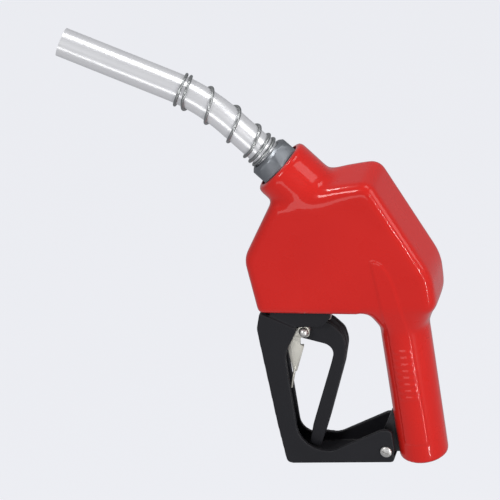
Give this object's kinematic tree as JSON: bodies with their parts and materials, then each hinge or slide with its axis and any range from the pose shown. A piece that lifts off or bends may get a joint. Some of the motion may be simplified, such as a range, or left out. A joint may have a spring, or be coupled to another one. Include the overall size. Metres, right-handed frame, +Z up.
{
  "type": "fuel nozzle",
  "caption": "Automatic shut-off fuel nozzle with a bent spout, a covered grip handle, a lever in a guard, a hold-open clip and a trip latch.",
  "frame": {"origin": "centre of the hose inlet, on the handle's end face", "axes": "+Z up the handle, -X towards the spout and the lever guard, Y across the thickness"},
  "size_m": [0.2859, 0.052, 0.3995],
  "materials": {
    "cast": "as cast, darkened",
    "vinyl": "glossy dipped vinyl",
    "spout": "bright turned",
    "nut": "satin",
    "spring_wire": "drawn wire",
    "guard": "fine grain",
    "lever": "fine grain",
    "steel": "satin",
    "clip": "zinc plated",
    "brass": "machined",
    "rubber": "matte"
  },
  "bodies": {
    "nozzle_body": {"body_casting": "cast", "hand_cover": "vinyl", "inlet_strainer": "brass", "valve_seat_ring": "brass", "body_cap": "cast", "body_cap_seal": "rubber", "stem_packing": "rubber", "packing_nut": "brass", "main_spring": "steel", "latch_plug": "cast", "plug_seal": "rubber", "latch_sleeve": "cast", "latch_ring": "steel", "trip_spring": "steel", "diaphragm_clamp": "cast", "diaphragm": "rubber", "diaphragm_spring": "steel", "lever_guard": "guard", "guard_top_screws": "steel", "guard_screw": "steel", "guard_nut": "steel", "check_seat_ring": "brass", "check_spring": "steel", "spout_adapter": "cast", "adapter_seal": "rubber", "spout_nut": "nut", "spout_tube": "spout", "spout_spring": "spring_wire", "vent_tube": "brass", "sensing_port": "brass"},
    "trip_plunger": {"trip_plunger": "steel", "pivot_pin": "steel", "pivot_retaining_ring": "steel"},
    "lever": {"lever": "lever"},
    "hold_open_clip": {"hold_open_clip": "clip", "clip_spring": "steel"},
    "main_valve": {"valve_stem": "steel", "main_poppet": "brass", "poppet_seal": "rubber"},
    "latch_pin": {"latch_pin": "steel", "diaphragm_washers": "steel"},
    "latch_ball_1": {"latch_ball_1": "steel"},
    "latch_ball_2": {"latch_ball_2": "steel"},
    "latch_ball_3": {"latch_ball_3": "steel"},
    "check_valve": {"check_poppet": "brass"}
  },
  "joints": [
    {"name": "trip_slide", "type": "slide", "parent": "nozzle_body", "child": "trip_plunger", "axis": [0, 0, -1], "range_m": [0, 0.004], "stiffness_N_per_m": 4000, "springref_m": -0.003, "deforming": ["trip_spring"]},
    {"name": "lever_pivot", "type": "hinge", "parent": "trip_plunger", "child": "lever", "pos_m": [-0.083, 0, 0.124], "axis": [0, -1, 0], "range_deg": [0, 24], "stiffness_Nm_per_rad": 0.6, "springref_deg": -22.92},
    {"name": "stem_slide", "type": "slide", "parent": "nozzle_body", "child": "main_valve", "axis": [0.342, 0, 0.9397], "range_m": [0, 0.0067], "deforming": ["main_spring"]},
    {"name": "clip_pivot", "type": "hinge", "parent": "trip_plunger", "child": "hold_open_clip", "pos_m": [-0.083, 0, 0.124], "axis": [0, -1, 0], "range_deg": [-8, 25], "stiffness_Nm_per_rad": 0.06},
    {"name": "latch_pin_slide", "type": "slide", "parent": "nozzle_body", "child": "latch_pin", "axis": [0, 0, 1], "range_m": [0, 0.0025], "deforming": ["diaphragm", "diaphragm_spring"]},
    {"name": "ball_1_slide", "type": "slide", "parent": "trip_plunger", "child": "latch_ball_1", "axis": [0, -1, 0], "range_m": [0, 0.0016]},
    {"name": "ball_2_slide", "type": "slide", "parent": "trip_plunger", "child": "latch_ball_2", "axis": [0.866, 0.5, 0], "range_m": [0, 0.0016]},
    {"name": "ball_3_slide", "type": "slide", "parent": "trip_plunger", "child": "latch_ball_3", "axis": [-0.866, 0.5, 0], "range_m": [0, 0.0016]},
    {"name": "check_slide", "type": "slide", "parent": "nozzle_body", "child": "check_valve", "axis": [-0.6494, 0, 0.7604], "range_m": [0, 0.004], "stiffness_N_per_m": 500, "springref_m": -0.004, "deforming": ["check_spring"]}
  ],
  "couplings": [
    {"joint": "stem_slide", "follows": "lever_pivot", "m_per_rad": 0.0158},
    {"joint": "latch_pin_slide", "follows": "trip_slide", "ratio": 0.625},
    {"joint": "ball_1_slide", "follows": "trip_slide", "ratio": 0.4},
    {"joint": "ball_2_slide", "follows": "trip_slide", "ratio": 0.4},
    {"joint": "ball_3_slide", "follows": "trip_slide", "ratio": 0.4}
  ]
}
